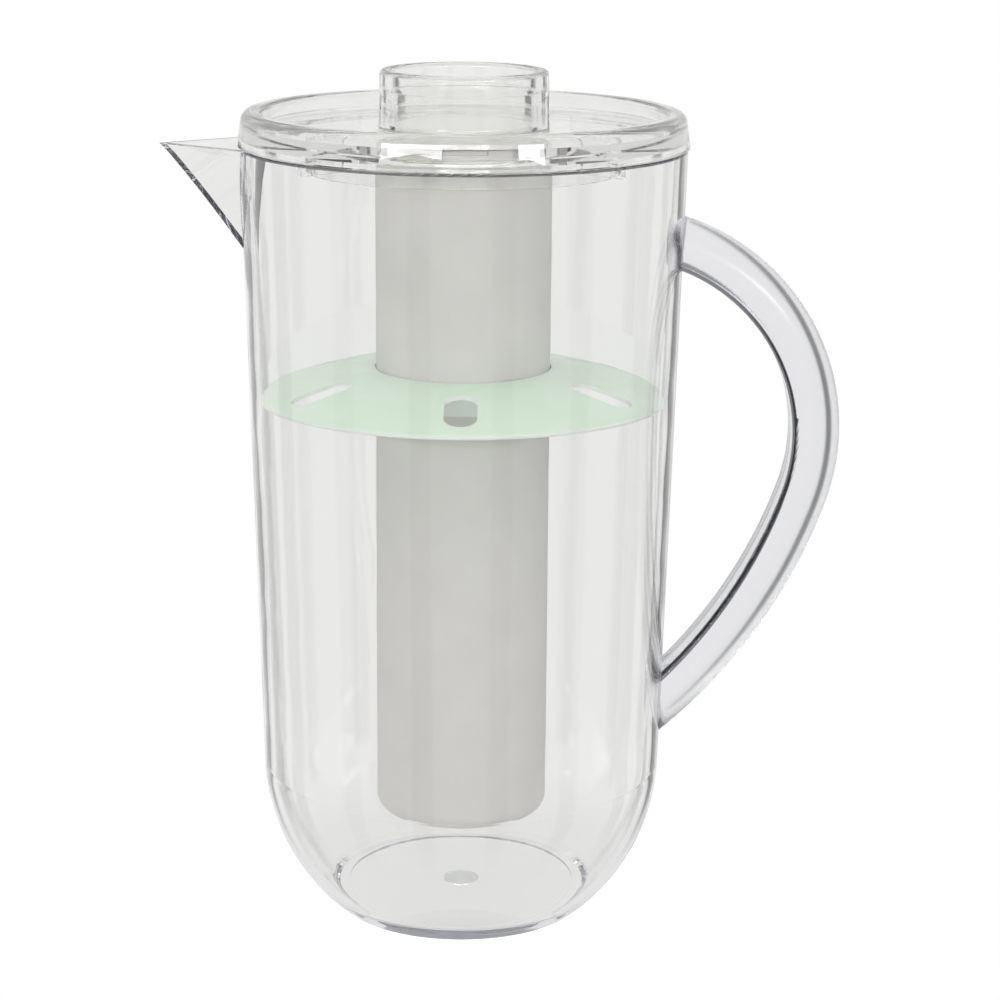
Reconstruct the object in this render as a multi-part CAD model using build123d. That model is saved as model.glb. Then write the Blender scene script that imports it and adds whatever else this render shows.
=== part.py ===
from build123d import *
from math import acos, cos, degrees, hypot, radians, sin, sqrt, tan
import os

os.makedirs("parts", exist_ok=True)

# Fruit infuser pitcher in millimetres, angles in degrees. +Z is up, the origin is the centre of the foot,
# the spout points to -X and the handle to +X.

# Jug
rim_height = 247.7
base_radius = 41.0  # where the round heel meets the foot
heel_radius = 64.1  # the heel is part of a sphere
wall_draft = 1.54  # lean of the wall
jug_wall = 3.2
floor_thickness = 6.0
floor_blend = 2.5
rim_round = 0.8
foot_width = 3.5
foot_recess = 0.8
gate_radius = 6.0  # round mark in the middle of the underside
gate_depth = 0.5

# Spout
spout_reach = 25.0  # from the rim to the tip
spout_drop = 34.0  # from the rim to the foot of the keel
spout_splay = 35.4  # half the angle of the V, seen from above
spout_wall = 1.4
keel_hollow = 0.6  # how far the keel bows in towards the jug
spout_root = 18.0  # how far the V runs on inside the rim before it is trimmed
spout_headroom = 1.0  # how far the V rises past the rim before it is trimmed

# Handle
handle_top_drop = 30.0  # from the rim to the middle of the upper joint
handle_low_joint = 67.8  # height of the middle of the lower joint
finger_gap = 34.6  # from the rim's radius to the inside of the handle
handle_depth = 15.6
handle_width = 18.0
handle_corner = 2.0
handle_bend = 64.4  # radius of the upper bend, at mid-depth
handle_bend_end = 18.7  # how far below level the upper bend ends
handle_root = 14.0  # how far the bar runs into the wall before it is trimmed

# Lid
lid_overhang = 0.6
ring_height = 10.5
ring_width = 7.3
ring_draft = 8.0
ring_round = 3.0
recess_depth = 4.7
plate_thickness = 5.0
collar_height = 17.2  # above the plate
collar_wall = 4.5
collar_draft = 1.2
lip_depth = 6.5  # the wider mouth of the collar
lip_step = 1.0
lip_round = 1.4
plug_inset = 13.2  # from the ring's inside to the plug ring
plug_wall = 3.0
plug_depth = 8.4
rib_count = 4
rib_thickness = 2.0
rib_depth = 5.0  # under the plate
rib_clearance = 0.5

# Ice tube and its neck
tube_radius = 27.5
tube_wall = 2.5
tube_floor = 3.0
tube_round = 5.0
tube_lift = 31.1  # from the foot of the jug to the bottom of the tube
cap_thickness = 3.0
spigot_wall = 2.4
spigot_depth = 6.0
bond_gap = 0.1
shoulder_width = 6.6  # from the tube's outside to the neck's
neck_wall = 2.4
neck_clearance = 0.7
neck_lead = 0.5  # of the neck above its lugs
gasket_thickness = 1.5
gasket_inset = 1.0

# Bayonet between the neck and the collar
lug_count = 3
lug_height = 2.2
lug_reach = 2.1
lug_angle = 24.0
lug_play = 0.25
lug_slack = 3.0  # degrees free at each side of a lug
groove_clearance = 0.4
ledge_thickness = 1.8
twist_angle = 60.0

# Stopper
stopper_inset = 0.4  # the dome's edge inside the neck's outside
dome_edge = 0.9
dome_rise = 1.2
stopper_depth = 9.0
stopper_wall = 3.0
stopper_roof = 1.2
stopper_clearance = 0.4
seal_thickness = 2.2
seal_clearance = 0.15
seal_play = 0.1

# Infuser disc
disc_height = 178.0  # top of the dome at the hub
disc_fall = 8.5  # from the hub to the rim
disc_bow = 1.2  # how far the dome rises above a straight cone
disc_thickness = 1.4
disc_edge_round = 0.5
disc_clearance = 0.4
hub_clearance = 0.35
hub_wall = 2.4
hub_height = 10.0
slot_count = 6
slot_length = 20.0
slot_width = 10.0
slot_inset = 5.0  # from the rim to the end of a slot

# Sizes that follow from the ones above
heel_centre = sqrt(heel_radius**2 - base_radius**2)


def wall_radius(height, inset=0.0):
    """Radius of the leaning wall at a height, inset from its outside."""
    lean = radians(wall_draft)
    return (heel_radius - inset + (height - heel_centre) * sin(lean)) / cos(lean)


rim_radius = wall_radius(rim_height)
lid_radius = rim_radius + lid_overhang
ring_top = rim_height + ring_height
ring_inside = lid_radius - ring_width
plate_top = ring_top - recess_depth
plate_under = plate_top - plate_thickness
plug_radius = ring_inside - plug_inset
plug_bottom = plate_under - plug_depth
neck_radius = tube_radius - shoulder_width
neck_bore = neck_radius - neck_wall
collar_bore = neck_radius + neck_clearance
collar_top = plate_top + collar_height
shoulder = plate_under - gasket_thickness
cap_under = shoulder - cap_thickness
ledge = plate_under + ledge_thickness
lug_under = ledge + lug_play
groove_top = lug_under + lug_height + lug_play
groove_radius = neck_radius + lug_reach + groove_clearance
neck_top = lug_under + lug_height + neck_lead
tube_bore = tube_radius - tube_wall
stopper_radius = neck_bore - stopper_clearance
stopper_bottom = neck_top - stopper_depth
seal_radius = seal_thickness / 2
seal_ring = neck_bore - seal_clearance - seal_radius
seal_height = neck_top - stopper_depth / 2
hub_bore = tube_radius + hub_clearance


def lathe(face):
    """Turns a profile, drawn as radius and height, about the jug's axis."""
    return revolve(Plane.XZ * face, Axis.Z)


def rounded(face, corners, radius):
    """Rounds the corners of a profile that lie at the given points."""
    for corner in corners:
        face = fillet(face.vertices().sort_by_distance((*corner, 0))[0], radius)
    return face


def tube(outer, inner, low, high):
    """Plain ring about the jug's axis."""
    return lathe(Pos((outer + inner) / 2, (low + high) / 2) * Rectangle(outer - inner, high - low))


def sector(inner, outer, low, high, start, sweep):
    """Part of a ring that turns through an angle from a start angle."""
    profile = Pos((inner + outer) / 2, (low + high) / 2) * Rectangle(outer - inner, high - low)
    return Rot(0, 0, start) * revolve(Plane.XZ * profile, Axis.Z, sweep)


def around(solid, count):
    """Copies of a solid, evenly spaced about the jug's axis."""
    return [Rot(0, 0, 360 * i / count) * solid for i in range(count)]


def heel(inset, low_radius):
    """Round heel from a radius at its foot up to where the wall leans away from it."""
    radius = heel_radius - inset
    start = -degrees(acos(low_radius / radius))
    return CenterArc((0, heel_centre), radius, start, -wall_draft - start)


def jug_outside():
    """The jug's outer form as a solid, which trims whatever is bonded to it."""
    arc = heel(0, base_radius)
    rim = (rim_radius, rim_height)
    foot = Polyline((0, rim_height), (0, 0), (base_radius, 0))
    return lathe(make_face(foot + arc + Polyline(arc @ 1, rim, (0, rim_height))))


def make_jug():
    """Jug with a foot ring, a thick floor, round heel and leaning wall, notched behind the spout."""
    inside_radius = sqrt((heel_radius - jug_wall) ** 2 - (heel_centre - floor_thickness) ** 2)
    outer, inner = heel(0, base_radius), heel(jug_wall, inside_radius)
    recess_radius = base_radius - foot_width
    gate_top = foot_recess + gate_depth
    underside = Polyline(
        (0, floor_thickness),
        (0, gate_top),
        (gate_radius, gate_top),
        (gate_radius, foot_recess),
        (recess_radius, foot_recess),
        (recess_radius, 0),
        (base_radius, 0),
    )
    rim_outer = (rim_radius, rim_height)
    rim_inner = (wall_radius(rim_height, jug_wall), rim_height)
    wall = Polyline(outer @ 1, rim_outer, rim_inner, inner @ 1)
    floor = Line(inner @ 0, (0, floor_thickness))
    profile = make_face(underside + outer + wall + inner + floor)
    profile = rounded(profile, [rim_outer, rim_inner], rim_round)
    profile = rounded(profile, [(inside_radius, floor_thickness)], floor_blend)
    return lathe(profile) - spout_wedge(channel_shift())


def keel_foot():
    """Where the keel meets the jug, as radius and height."""
    height = rim_height - spout_drop
    return -wall_radius(height), height


def channel_shift():
    """How far the channel's keel lies behind the outer keel, so that the walls have their thickness."""
    foot_x, foot_height = keel_foot()
    run = foot_x + rim_radius + spout_reach
    fall = rim_height - foot_height
    spread = sin(radians(spout_splay))
    return spout_wall * hypot(fall, run * spread) / (fall * spread)


def spout_wedge(shift):
    """V block on a hollow keel, moved towards the jug by a shift. It rises past the rim."""
    foot_x, foot_height = keel_foot()
    foot = (foot_x + shift, foot_height)
    tip = (shift - rim_radius - spout_reach, rim_height)
    inside = spout_root - rim_radius
    top = rim_height + spout_headroom
    back = Polyline(tip, (tip[0], top), (inside, top), (inside, foot_height), foot)
    side = Plane.XZ * make_face(SagittaArc(tip, foot, keel_hollow) + back)
    lean = radians(spout_splay)
    run = (spout_reach + spout_root) / cos(lean)
    half = extrude(side, run, dir=(cos(lean), sin(lean), 0))
    return half + mirror(half, Plane.XZ)


def make_spout():
    """Open V trough, trimmed to the jug's wall."""
    trough = spout_wedge(0) - spout_wedge(channel_shift())
    return split(trough, Plane.XY.offset(rim_height), Keep.BOTTOM) - jug_outside()


def handle_path():
    """Middle line of the handle: an upper bend, a flatter lower bend, and both ends run into the wall."""
    top_height = rim_height - handle_top_drop
    top_x = wall_radius(top_height)
    centre_x = rim_radius + finger_gap + handle_depth / 2 - handle_bend
    start = degrees(acos((top_x - centre_x) / handle_bend))
    centre = (centre_x, top_height - handle_bend * sin(radians(start)))
    upper = CenterArc(centre, handle_bend, start, -handle_bend_end - start)
    low = (wall_radius(handle_low_joint), handle_low_joint)
    lower = TangentArc(upper @ 1, low, tangent=upper % 1)
    lead_in = Line(upper @ 0 - handle_root * (upper % 0), upper @ 0)
    lead_out = Line(lower @ 1, lower @ 1 + handle_root * (lower % 1))
    return Plane.XZ * (lead_in + upper + lower + lead_out)


def make_handle():
    """Loop bar with a flat inside and a half-round outside, trimmed to the jug's wall."""
    half = handle_width / 2
    inside = -handle_depth / 2
    crown = handle_depth / 2 - half
    flat = Polyline((crown, half), (inside, half), (inside, -half), (crown, -half))
    section = make_face(flat + ThreePointArc((crown, -half), (handle_depth / 2, 0), (crown, half)))
    section = rounded(section, [(inside, half), (inside, -half)], handle_corner)
    path = handle_path()
    away = (path % 0).cross(Vector(0, 1, 0))
    start = Plane(origin=path @ 0, x_dir=away if away.Z > 0 else -away, z_dir=path % 0)
    return sweep(start * section, path=path) - jug_outside()


def make_lid():
    """Rim ring, recessed plate, finger collar with bayonet grooves, plug ring and locating ribs."""
    ring_edge = (lid_radius - ring_height * tan(radians(ring_draft)), ring_top)
    ring_lip = (ring_inside, ring_top)
    collar_edge = (collar_bore + collar_wall, collar_top)
    collar_foot = (collar_edge[0] + collar_height * tan(radians(collar_draft)), plate_top)
    mouth = (collar_bore + lip_step, collar_top)
    step = collar_top - lip_depth
    profile = make_face(
        Polyline(
            (collar_bore, plate_under),
            (plug_radius - plug_wall, plate_under),
            (plug_radius - plug_wall, plug_bottom),
            (plug_radius, plug_bottom),
            (plug_radius, plate_under),
            (ring_inside, plate_under),
            (ring_inside, rim_height),
            (lid_radius, rim_height),
            ring_edge,
            ring_lip,
            (ring_inside, plate_top),
            collar_foot,
            collar_edge,
            mouth,
            (mouth[0], step),
            (collar_bore, step),
            (collar_bore, plate_under),
        )
    )
    profile = rounded(profile, [ring_edge], ring_round)
    profile = rounded(profile, [ring_lip, collar_edge, mouth], lip_round)
    half_lug = lug_angle / 2 + lug_slack
    groove = sector(0, groove_radius, ledge, groove_top, -half_lug, twist_angle + 2 * half_lug)
    entry = sector(0, groove_radius, plate_under, groove_top, twist_angle - half_lug, 2 * half_lug)
    rib_bottom = plate_under - rib_depth
    rib_end = wall_radius(rib_bottom, jug_wall) - rib_clearance
    rib_start = plug_radius - plug_wall / 2
    rib = Box(rib_end - rib_start, rib_thickness, rib_depth)
    rib = Pos((rib_start + rib_end) / 2, 0, (rib_bottom + plate_under) / 2) * rib
    ribs = around(Rot(0, 0, 180 / rib_count) * rib, rib_count)
    return lathe(profile) + ribs - around(groove + entry, lug_count)


def make_ice_tube():
    """Closed tube with a rounded bottom edge, open at the top for its neck."""
    edge = (tube_radius, tube_lift)
    profile = make_face(
        Polyline(
            (0, tube_lift),
            edge,
            (tube_radius, cap_under),
            (tube_bore, cap_under),
            (tube_bore, tube_lift + tube_floor),
            (0, tube_lift + tube_floor),
            (0, tube_lift),
        )
    )
    return lathe(rounded(profile, [edge], tube_round))


def make_tube_neck():
    """Cap bonded into the tube, with the narrower neck and its bayonet lugs."""
    spigot_radius = tube_bore - bond_gap
    spigot = tube(spigot_radius, spigot_radius - spigot_wall, cap_under - spigot_depth, cap_under)
    cap = tube(tube_radius, neck_bore, cap_under, shoulder)
    neck = tube(neck_radius, neck_bore, shoulder, neck_top)
    lug = sector(neck_bore, neck_radius + lug_reach, lug_under, lug_under + lug_height, -lug_angle / 2, lug_angle)
    return cap + spigot + neck + around(lug, lug_count)


def make_neck_gasket():
    """Flat washer between the tube's shoulder and the lid."""
    return tube(tube_radius - gasket_inset, groove_radius, shoulder, plate_under)


def make_stopper():
    """Shallow dome on a hollow plug, grooved for its seal."""
    dome_radius = neck_radius - stopper_inset
    dome_top = neck_top + dome_edge + dome_rise
    rim = (dome_radius, neck_top + dome_edge)
    crown = SagittaArc((-dome_radius, rim[1]), rim, dome_rise)
    dome = make_face(
        RadiusArc((0, dome_top), rim, crown.radius)
        + Polyline(rim, (dome_radius, neck_top), (0, neck_top), (0, dome_top))
    )
    plug = tube(stopper_radius, stopper_radius - stopper_wall, stopper_bottom, neck_top)
    roof = tube(stopper_radius, 0, neck_top - stopper_roof, neck_top)
    groove_half = seal_radius + seal_play
    groove = tube(neck_bore, seal_ring - groove_half, seal_height - groove_half, seal_height + groove_half)
    return lathe(dome) + plug + roof - groove


def make_stopper_seal():
    """Round sealing ring in the stopper's groove."""
    return lathe(Pos(seal_ring, seal_height) * Circle(seal_radius))


def make_infuser_disc():
    """Shallow dome with a hub that slides on the tube and a ring of oval slots."""
    rim_top = disc_height - disc_fall
    rim_bottom = rim_top - disc_thickness
    rim = wall_radius(rim_bottom, jug_wall) - disc_clearance
    top = SagittaArc((hub_bore, disc_height), (rim, rim_top), disc_bow)
    under = Pos(0, -disc_thickness) * top
    shell = make_face(top + under + Line(top @ 0, under @ 0) + Line(top @ 1, under @ 1))
    shell = rounded(shell, [(rim, rim_top), (rim, rim_bottom)], disc_edge_round)
    hub_top = disc_height - disc_thickness / 2
    hub = tube(hub_bore + hub_wall, hub_bore, disc_height - hub_height, hub_top)
    slot_middle = rim - slot_inset - slot_length / 2
    slot = Pos(0, -slot_middle, rim_bottom) * Rot(0, 0, 90) * SlotOverall(slot_length, slot_width)
    return lathe(shell) + hub - around(extrude(slot, disc_height - rim_bottom), slot_count)


pieces = {
    "pitcher_body": make_jug(),
    "spout": make_spout(),
    "handle": make_handle(),
    "lid": make_lid(),
    "ice_tube": make_ice_tube(),
    "tube_neck": make_tube_neck(),
    "neck_gasket": make_neck_gasket(),
    "stopper": make_stopper(),
    "stopper_seal": make_stopper_seal(),
    "infuser_disc": make_infuser_disc(),
}
for name, piece in pieces.items():
    export_step(piece, f"parts/{name}.step")
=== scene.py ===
from math import pi, radians

import bmesh
import bpy
from mathutils import Euler, Matrix, Quaternion, Vector
from mathutils.bvhtree import BVHTree


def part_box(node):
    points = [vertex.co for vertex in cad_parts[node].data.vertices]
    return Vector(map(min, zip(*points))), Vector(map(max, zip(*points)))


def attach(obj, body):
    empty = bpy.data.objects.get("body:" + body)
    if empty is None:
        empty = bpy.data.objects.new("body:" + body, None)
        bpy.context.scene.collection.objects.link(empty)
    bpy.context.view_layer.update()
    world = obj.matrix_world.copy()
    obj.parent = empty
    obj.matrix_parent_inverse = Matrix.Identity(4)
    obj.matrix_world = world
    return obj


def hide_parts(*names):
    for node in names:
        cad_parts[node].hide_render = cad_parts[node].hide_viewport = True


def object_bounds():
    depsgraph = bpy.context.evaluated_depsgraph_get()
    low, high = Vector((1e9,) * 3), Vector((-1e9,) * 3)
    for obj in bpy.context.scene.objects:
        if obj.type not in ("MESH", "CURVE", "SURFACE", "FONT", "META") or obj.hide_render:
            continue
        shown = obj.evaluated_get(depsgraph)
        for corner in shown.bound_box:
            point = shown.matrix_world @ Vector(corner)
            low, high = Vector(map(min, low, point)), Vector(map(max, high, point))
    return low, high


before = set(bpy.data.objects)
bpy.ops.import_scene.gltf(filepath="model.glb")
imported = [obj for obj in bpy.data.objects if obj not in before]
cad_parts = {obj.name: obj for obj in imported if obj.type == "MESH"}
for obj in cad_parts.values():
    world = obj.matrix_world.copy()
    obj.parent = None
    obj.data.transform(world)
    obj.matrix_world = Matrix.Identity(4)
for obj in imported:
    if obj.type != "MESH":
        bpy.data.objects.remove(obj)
cad_low, cad_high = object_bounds()
scene = bpy.context.scene

# Camera, in metres, degrees and millimetres of lens
CAMERA_PLACE = (0.0120, -0.850, 0.351)
CAMERA_PITCH = 14.33
CAMERA_ROLL = 0.45
CAMERA_LENS = 98.64
CAMERA_SENSOR = 36.0

# Floor, in metres and levels where 1 is white
FLOOR_SOLID = 0.055  # radius of the floor that is all there
FLOOR_RADIUS = 0.125  # where it has faded into the white surroundings
FLOOR_GAP = 0.0003  # under the foot, so that the two faces don't coincide
FLOOR_GLOW = 0.4
FLOOR_IN_GLASS = 0.8

# Room, in levels where 1 is white and heights where 1 is straight up
PANEL_LEVEL = 0.88
PANEL_END = 0.5  # height where the panels start to pass into the ceiling
TOP_LEVEL = 1.1
TOP_START = 0.8  # height where the ceiling has its own level
STRIP_PAIRS = 4  # pairs of dark strips, evenly placed by a wave round the room
STRIP_START = 0.87  # level of the wave where a strip starts
STRIP_FULL = 0.95  # and where it is darkest
STRIP_END = 0.1  # height where the strips have faded
STRIPS_TO_RIGHT = 1.0  # darkness of the strips that edge the right side of a view
STRIPS_TO_LEFT = 0.8

# How the clear pieces meet, in metres
LID_SEAM = 0.00035  # gap between the lid and the rim
BOND_DEPTH = 0.0002  # how far a bonded piece is fused into the wall
BOND_REACH = 0.00005  # points this close to the wall are bonded
RIM_BAND = 0.0012  # height of the rim's rounded edge
GATE_RADIUS = 0.0057  # rough mark under the floor, where the mould was filled
GATE_DEPTH = 0.00015

# Faces with painted shade or a painted highlight, chosen by their height in metres and their
# unit normals
# The mark is painted shade: a dark base colour that stands in for the dark lines clear acrylic
# shows at its edges
PAINTED_SHADE_FACES = "painted_shade_faces"  # name of the mark on a clear piece's faces, from 0 to 1
INSIDE_PAINTED_SHADE = 0.45  # mark on the handle's flat inside, between its dark corners
PAINTED_SHADE_BAND = 0.0011  # height of the rim's dark edge
FLAT_TOP = 0.9  # a face whose normal rises more lies flat on top
FLAT_INSIDE = 0.1  # the handle's flat inside leans less to the side
FLAT_SIDE = 0.97  # and its flat sides lean more
CUT_EDGE = 0.6  # the normals of the disc's cut edges rise or fall less

ACRYLIC_IOR = 1.49
PLASTIC_IOR = 1.45
BOUNCES = 128  # clear walls behind clear walls need many


def link(tree, source, target):
    tree.links.new(source, target)


def math_node(tree, operation, *values):
    node = tree.nodes.new("ShaderNodeMath")
    node.operation = operation
    for socket, value in zip(node.inputs, values):
        if isinstance(value, (int, float)):
            socket.default_value = value
        else:
            link(tree, value, socket)
    return node.outputs[0]


def smooth_range(tree, value, low, high, at_low, at_high):
    """Eases from one level to another as a value goes from low to high."""
    node = tree.nodes.new("ShaderNodeMapRange")
    node.interpolation_type = "SMOOTHSTEP"
    link(tree, value, node.inputs["Value"])
    numbers = {"From Min": low, "From Max": high, "To Min": at_low, "To Max": at_high}
    for name, number in numbers.items():
        node.inputs[name].default_value = number
    return node.outputs["Result"]


def noise(tree, scale, detail=3.0):
    """Noise over the object's own coordinates; the scale is per metre."""
    place = tree.nodes.new("ShaderNodeTexCoord")
    texture = tree.nodes.new("ShaderNodeTexNoise")
    texture.inputs["Scale"].default_value = scale
    texture.inputs["Detail"].default_value = detail
    link(tree, place.outputs["Object"], texture.inputs["Vector"])
    return texture.outputs["Fac"]


def tint(tree, shader, value, at_low, at_high):
    """Colours a shader between two tints by a value."""
    ramp = tree.nodes.new("ShaderNodeValToRGB")
    ramp.color_ramp.elements[0].position = 0.3
    ramp.color_ramp.elements[1].position = 0.7
    ramp.color_ramp.elements[0].color = (*at_low, 1)
    ramp.color_ramp.elements[1].color = (*at_high, 1)
    link(tree, value, ramp.inputs["Fac"])
    link(tree, ramp.outputs["Color"], shader.inputs["Base Color"])


def raise_bump(tree, shader, value, strength, height):
    bump = tree.nodes.new("ShaderNodeBump")
    bump.inputs["Strength"].default_value = strength
    bump.inputs["Distance"].default_value = height
    link(tree, value, bump.inputs["Height"])
    link(tree, bump.outputs["Normal"], shader.inputs["Normal"])


def mix_shaders(tree, share, first, second):
    mix = tree.nodes.new("ShaderNodeMixShader")
    link(tree, share, mix.inputs["Fac"])
    link(tree, first, mix.inputs[1])
    link(tree, second, mix.inputs[2])
    return mix.outputs["Shader"]


def new_material(name):
    """A material with an empty tree that holds a Principled shader and the output."""
    material = bpy.data.materials.new(name)
    material.use_nodes = True
    tree = material.node_tree
    tree.nodes.clear()
    shader = tree.nodes.new("ShaderNodeBsdfPrincipled")
    output = tree.nodes.new("ShaderNodeOutputMaterial")
    link(tree, shader.outputs["BSDF"], output.inputs["Surface"])
    return material, tree, shader, output


def clear_acrylic(name, clearness, softness, waviness, depth_tint, density):
    """Clear acrylic, a little wavy from its mould, with hazier patches.

    Its depth has a faint tint, and its marked faces are smooth and carry painted shade, a
    near-black base colour.
    """
    material, tree, shader, output = new_material(name)
    # Painted shade: where a face is marked, the base colour goes to near black for the dark
    # lines that clear edges show
    mark = tree.nodes.new("ShaderNodeAttribute")
    mark.attribute_name = PAINTED_SHADE_FACES
    dark = mark.outputs["Fac"]
    tint(tree, shader, dark, at_low=(0.97, 0.97, 0.96), at_high=(0.06, 0.06, 0.07))
    shader.inputs["Transmission Weight"].default_value = clearness
    shader.inputs["IOR"].default_value = ACRYLIC_IOR
    patches = noise(tree, scale=140, detail=4)
    haze = smooth_range(tree, patches, 0.5, 0.8, softness, softness + 0.03)
    unmarked = math_node(tree, "SUBTRACT", 1, dark)
    link(tree, math_node(tree, "MULTIPLY", haze, unmarked), shader.inputs["Roughness"])
    raise_bump(tree, shader, noise(tree, scale=45, detail=1), waviness, height=0.0004)
    depth = tree.nodes.new("ShaderNodeVolumeAbsorption")
    depth.inputs["Color"].default_value = (*depth_tint, 1)
    depth.inputs["Density"].default_value = density
    link(tree, depth.outputs["Volume"], output.inputs["Volume"])
    return material


def matt_plastic(name, dark, light, transmission, roughness, grain):
    """Satin moulded plastic that light passes through.

    It has a clouded tint, an uneven gloss and a fine grain.
    """
    material, tree, shader, _ = new_material(name)
    tint(tree, shader, noise(tree, scale=60, detail=4), at_low=dark, at_high=light)
    shader.inputs["Transmission Weight"].default_value = transmission
    shader.inputs["IOR"].default_value = PLASTIC_IOR
    patches = noise(tree, scale=220)
    gloss = smooth_range(tree, patches, 0.3, 0.7, roughness - 0.06, roughness + 0.06)
    link(tree, gloss, shader.inputs["Roughness"])
    raise_bump(tree, shader, noise(tree, grain, detail=2), strength=0.2, height=0.0001)
    return material


def dress(node, material):
    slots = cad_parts[node].data.materials
    slots.clear()
    slots.append(material)


def copy_of(node, name, body, slot, *materials):
    """A mesh of its own with a node's shape, which stands for that node."""
    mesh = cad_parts[node].data.copy()
    mesh.name = name
    mesh.materials.clear()
    for material in materials:
        mesh.materials.append(material)
    piece = bpy.data.objects.new(name, mesh)
    scene.collection.objects.link(piece)
    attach(piece, body)
    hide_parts(node)
    return piece


def wall_tree(node):
    """Search tree over a node's faces."""
    mesh = bmesh.new()
    mesh.from_mesh(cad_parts[node].data)
    tree = BVHTree.FromBMesh(mesh)
    mesh.free()
    return tree


def make_gate_mark(wall, rough):
    """Thin rough disc in the hollow of the underside."""
    hollow_top = wall.ray_cast((0, 0, -FLOOR_GAP), (0, 0, 1))[0].z
    mark = bmesh.new()
    circle = bmesh.ops.create_circle(mark, cap_ends=True, radius=GATE_RADIUS, segments=48)
    raised = bmesh.ops.extrude_face_region(mark, geom=list(mark.faces))["geom"]
    for vertex in circle["verts"]:
        vertex.co.z = hollow_top - 2 * GATE_DEPTH
    for vertex in (item for item in raised if isinstance(item, bmesh.types.BMVert)):
        vertex.co.z = hollow_top - GATE_DEPTH
    bmesh.ops.recalc_face_normals(mark, faces=list(mark.faces))
    mesh = bpy.data.meshes.new("gate_mark")
    mark.to_mesh(mesh)
    mark.free()
    mesh.materials.append(rough)
    piece = bpy.data.objects.new("gate_mark", mesh)
    scene.collection.objects.link(piece)
    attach(piece, "pitcher")


def paint_shade(piece, painted_shade):
    """Marks how much painted shade each face of a clear piece has."""
    mark = piece.data.attributes.new(PAINTED_SHADE_FACES, "FLOAT", "FACE")
    for face in piece.data.polygons:
        mark.data[face.index].value = painted_shade(face)


def paint_edge_shade(jug, spout, handle, wall, rim_height):
    """Paints shade on the rim's rounding, the spout's upper edge and the handle's inside, and
    darkens the spout's joint as a dark joint.
    """
    edge_low = rim_height - PAINTED_SHADE_BAND
    middle = Vector((0, 0, rim_height / 2))

    def rim_rounding(face):
        return face.center.z > edge_low and face.normal.z < FLAT_TOP

    def edge_or_joint(face):
        upper_edge = face.center.z > edge_low and face.normal.z > FLAT_TOP
        return upper_edge or wall.find_nearest(face.center)[3] < BOND_REACH

    def inside_of_handle(face):
        sideways = abs(face.normal.y)
        if face.normal.dot(middle - face.center) < 0 or sideways > FLAT_SIDE:
            return 0
        return 1 if sideways > FLAT_INSIDE else INSIDE_PAINTED_SHADE

    paint_shade(jug, rim_rounding)
    paint_shade(spout, edge_or_joint)
    paint_shade(handle, inside_of_handle)


def fuse_to_wall(piece, wall):
    """Moves the points that lie on the wall a little into it, as a solvent joint does."""
    for vertex in piece.data.vertices:
        if wall.find_nearest(vertex.co)[3] < BOND_REACH:
            inward = Vector((-vertex.co.x, -vertex.co.y, 0)).normalized()
            vertex.co += BOND_DEPTH * inward


def lower_rim(piece, rim_height):
    """Lets the rim's edge down by the width of the seam under the lid."""
    for vertex in piece.data.vertices:
        if vertex.co.z > rim_height - RIM_BAND:
            vertex.co.z -= LID_SEAM


def make_clear_pieces(clear, bonded, soft, rough):
    """Jug, spout and handle, with the joints and edges that a clear piece shows, the edges in
    painted shade.
    """
    rim_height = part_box("pitcher_body")[1].z
    wall = wall_tree("pitcher_body")
    make_gate_mark(wall, rough)
    jug = copy_of("pitcher_body", "clear_jug", "pitcher", "clear_acrylic", clear)
    spout = copy_of("spout", "clear_spout", "pitcher", "clear_acrylic", bonded)
    handle = copy_of("handle", "clear_handle", "pitcher", "clear_acrylic", soft)
    paint_edge_shade(jug, spout, handle, wall, rim_height)
    for piece in (spout, handle):
        fuse_to_wall(piece, wall)
    for piece in (jug, spout, handle):
        lower_rim(piece, rim_height)


def make_disc(mint, mint_painted_highlight):
    """Infuser disc whose cut edges get a paler colour, a painted highlight for the light they
    pass on.
    """
    disc = copy_of("infuser_disc", "mint_disc", "disc", "mint_plastic", mint, mint_painted_highlight)
    for face in disc.data.polygons:
        if abs(face.normal.z) < CUT_EDGE:
            face.material_index = 1


def make_world():
    """White for the camera.

    Glass also finds dark strips between the studio's panels, which draw its edges.
    """
    world = bpy.data.worlds.new("studio")
    scene.world = world
    world.use_nodes = True
    tree = world.node_tree
    tree.nodes.clear()
    place = tree.nodes.new("ShaderNodeTexCoord")
    split = tree.nodes.new("ShaderNodeSeparateXYZ")
    link(tree, place.outputs["Generated"], split.inputs["Vector"])
    height = split.outputs["Z"]
    turn = math_node(tree, "ARCTAN2", split.outputs["Y"], split.outputs["X"])
    wave = math_node(tree, "SINE", math_node(tree, "MULTIPLY", turn, STRIP_PAIRS))
    right = smooth_range(tree, wave, -STRIP_FULL, -STRIP_START, STRIPS_TO_RIGHT, 0)
    left = smooth_range(tree, wave, STRIP_START, STRIP_FULL, 0, STRIPS_TO_LEFT)
    below = smooth_range(tree, height, 0, STRIP_END, 1, 0)
    path = tree.nodes.new("ShaderNodeLightPath")
    through = math_node(tree, "MULTIPLY", below, path.outputs["Is Transmission Ray"])
    dark = math_node(tree, "MULTIPLY", math_node(tree, "ADD", right, left), through)
    panels = smooth_range(tree, height, PANEL_END, TOP_START, PANEL_LEVEL, TOP_LEVEL)
    level = math_node(tree, "MULTIPLY", math_node(tree, "SUBTRACT", 1, dark), panels)
    seen = math_node(tree, "MAXIMUM", path.outputs["Is Camera Ray"], level)
    room = tree.nodes.new("ShaderNodeBackground")
    room.inputs["Color"].default_value = (1, 1, 1, 1)
    link(tree, seen, room.inputs["Strength"])
    output = tree.nodes.new("ShaderNodeOutputWorld")
    link(tree, room.outputs["Background"], output.inputs["Surface"])


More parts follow.
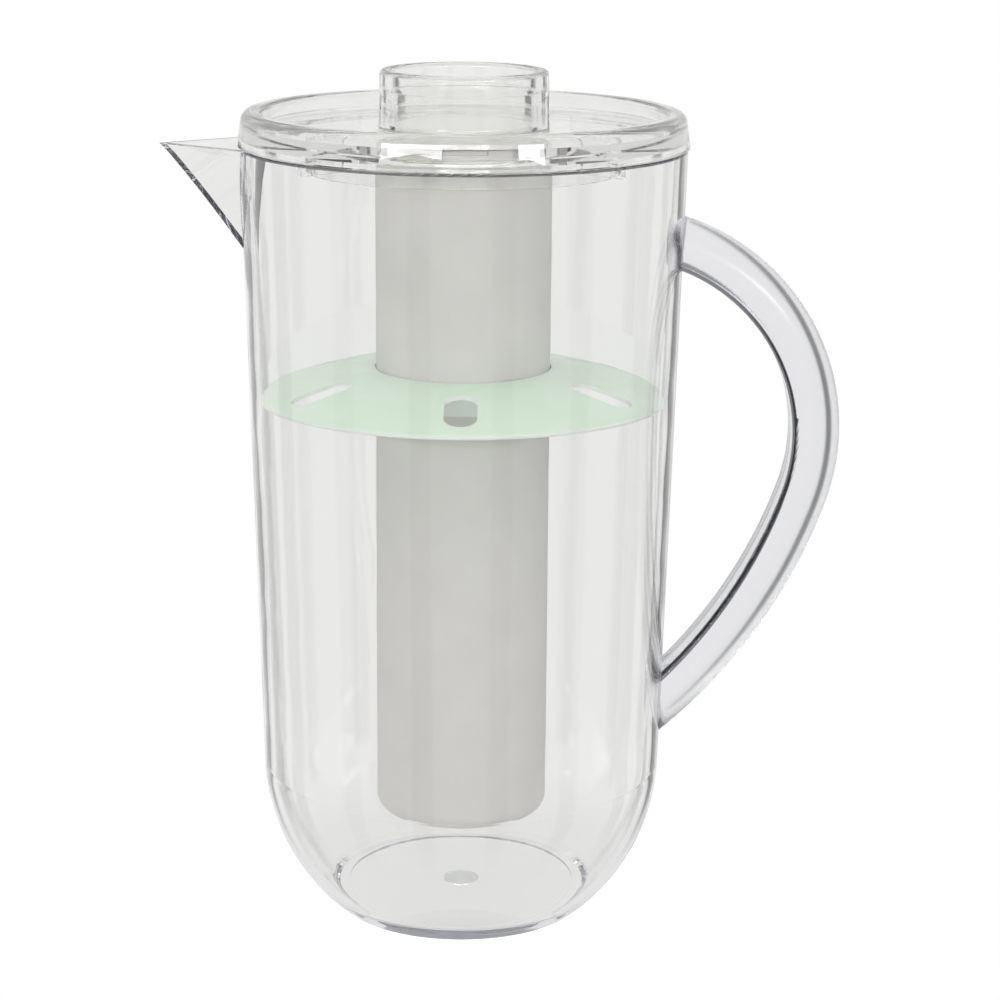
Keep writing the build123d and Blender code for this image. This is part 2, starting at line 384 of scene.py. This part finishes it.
def floor_finish():
    """Pale floor that keeps shadows and fades into the white around it.

    Through glass it looks evenly pale.
    """
    material, tree, shader, output = new_material("floor")
    tint(tree, shader, noise(tree, scale=30), (0.86, 0.86, 0.86), (0.88, 0.88, 0.88))
    shader.inputs["Roughness"].default_value = 0.9
    path = tree.nodes.new("ShaderNodeLightPath")
    glow = tree.nodes.new("ShaderNodeEmission")
    glow_level = math_node(tree, "MULTIPLY", path.outputs["Is Camera Ray"], FLOOR_GLOW)
    link(tree, glow_level, glow.inputs["Strength"])
    lit = tree.nodes.new("ShaderNodeAddShader")
    link(tree, shader.outputs["BSDF"], lit.inputs[0])
    link(tree, glow.outputs["Emission"], lit.inputs[1])
    pale = tree.nodes.new("ShaderNodeEmission")
    pale.inputs["Strength"].default_value = FLOOR_IN_GLASS
    glass_rays = path.outputs["Is Glossy Ray"], path.outputs["Is Transmission Ray"]
    in_glass = math_node(tree, "MAXIMUM", *glass_rays)
    seen = mix_shaders(tree, in_glass, lit.outputs["Shader"], pale.outputs["Emission"])
    place = tree.nodes.new("ShaderNodeNewGeometry")
    span = tree.nodes.new("ShaderNodeVectorMath")
    span.operation = "LENGTH"
    link(tree, place.outputs["Position"], span.inputs[0])
    fade = smooth_range(tree, span.outputs["Value"], FLOOR_SOLID, FLOOR_RADIUS, 0, 1)
    gone = tree.nodes.new("ShaderNodeBsdfTransparent")
    faded = mix_shaders(tree, fade, seen, gone.outputs["BSDF"])
    link(tree, faded, output.inputs["Surface"])
    return material


def make_floor():
    disc = bmesh.new()
    bmesh.ops.create_circle(disc, cap_ends=True, radius=FLOOR_RADIUS, segments=96)
    mesh = bpy.data.meshes.new("floor")
    disc.to_mesh(mesh)
    disc.free()
    mesh.materials.append(floor_finish())
    floor = bpy.data.objects.new("floor", mesh)
    floor.location.z = -FLOOR_GAP
    scene.collection.objects.link(floor)


def make_lamp(name, place, roll, size, power):
    """Soft box, in metres, degrees and watts, that looks at the middle of the part."""
    data = bpy.data.lights.new(name, "AREA")
    data.shape = "RECTANGLE"
    data.size, data.size_y = size
    data.energy = power
    lamp = bpy.data.objects.new(name, data)
    scene.collection.objects.link(lamp)
    lamp.location = place
    middle = (cad_low + cad_high) / 2
    aim = (middle - Vector(place)).to_track_quat("-Z", "Y")
    lamp.rotation_euler = (aim @ Quaternion((0, 0, 1), radians(roll))).to_euler()
    lamp.visible_camera = False


def make_lamps():
    """Two soft boxes, one each side of the camera, and a weaker one between them."""
    make_lamp("left_box", (-0.51, -1.09, 0.470), roll=2.1, size=(0.66, 0.10), power=3.0)
    make_lamp("middle_box", (0.16, -1.18, 0.470), roll=-0.3, size=(0.72, 0.10), power=0.6)
    make_lamp("right_box", (0.67, -1.00, 0.4595), roll=-2.6, size=(0.28, 0.10), power=1.3)


def make_camera():
    data = bpy.data.cameras.new("camera")
    data.sensor_width = CAMERA_SENSOR
    data.lens = CAMERA_LENS
    data.clip_start, data.clip_end = 0.01, 100
    camera = bpy.data.objects.new("camera", data)
    scene.collection.objects.link(camera)
    tilt = Euler((pi / 2 - radians(CAMERA_PITCH), 0, 0)).to_matrix()
    roll = Matrix.Rotation(radians(CAMERA_ROLL), 3, "Z")
    camera.matrix_world = Matrix.Translation(CAMERA_PLACE) @ (tilt @ roll).to_4x4()
    scene.camera = camera


clear = clear_acrylic(
    "clear_acrylic",
    clearness=1, softness=0, waviness=0.25, depth_tint=(0.84, 0.84, 0.87), density=15,
)
bonded = clear_acrylic(
    "bonded_acrylic",
    clearness=1, softness=0, waviness=0.06, depth_tint=(0.83, 0.83, 0.91), density=40,
)
soft = clear_acrylic(
    "handle_acrylic",
    clearness=1, softness=0.22, waviness=0.06, depth_tint=(0.83, 0.83, 0.91), density=25,
)
lid_clear = clear_acrylic(
    "lid_acrylic",
    clearness=0.975, softness=0, waviness=0.06, depth_tint=(0.87, 0.87, 0.86), density=15,
)
rough = matt_plastic(
    "rough_acrylic", dark=(0.88, 0.90, 0.89), light=(0.93, 0.95, 0.94),
    transmission=0.75, roughness=0.5, grain=1500,
)
frosted = matt_plastic(
    "frosted_plastic", dark=(0.795, 0.785, 0.76), light=(0.845, 0.835, 0.81),
    transmission=0.25, roughness=0.55, grain=1500,
)
milky = matt_plastic(
    "white_plastic", dark=(0.88, 0.88, 0.85), light=(0.93, 0.93, 0.90),
    transmission=0.2, roughness=0.45, grain=1200,
)
silicone = matt_plastic(
    "silicone", dark=(0.78, 0.79, 0.78), light=(0.84, 0.85, 0.84),
    transmission=0.35, roughness=0.4, grain=2000,
)
mint = matt_plastic(
    "mint_plastic", dark=(0.76, 0.93, 0.77), light=(0.82, 0.95, 0.82),
    transmission=0.2, roughness=0.4, grain=1200,
)
# Painted highlight: a paler mint for the disc's cut edges, for the light they pass on
mint_painted_highlight = matt_plastic(
    "mint_painted_highlight", dark=(0.92, 0.98, 0.93), light=(0.95, 0.99, 0.96),
    transmission=0.2, roughness=0.35, grain=1200,
)
make_clear_pieces(clear, bonded, soft, rough)
make_disc(mint, mint_painted_highlight)
dress("lid", lid_clear)
dress("ice_tube", frosted)
dress("tube_neck", frosted)
dress("stopper", milky)
dress("neck_gasket", silicone)
dress("stopper_seal", silicone)
make_world()
make_floor()
make_lamps()
make_camera()

scene.view_settings.view_transform = "Standard"
scene.cycles.blur_glossy = 0
scene.cycles.max_bounces = BOUNCES
scene.cycles.transmission_bounces = BOUNCES
scene.cycles.glossy_bounces = BOUNCES
scene.cycles.transparent_max_bounces = 32
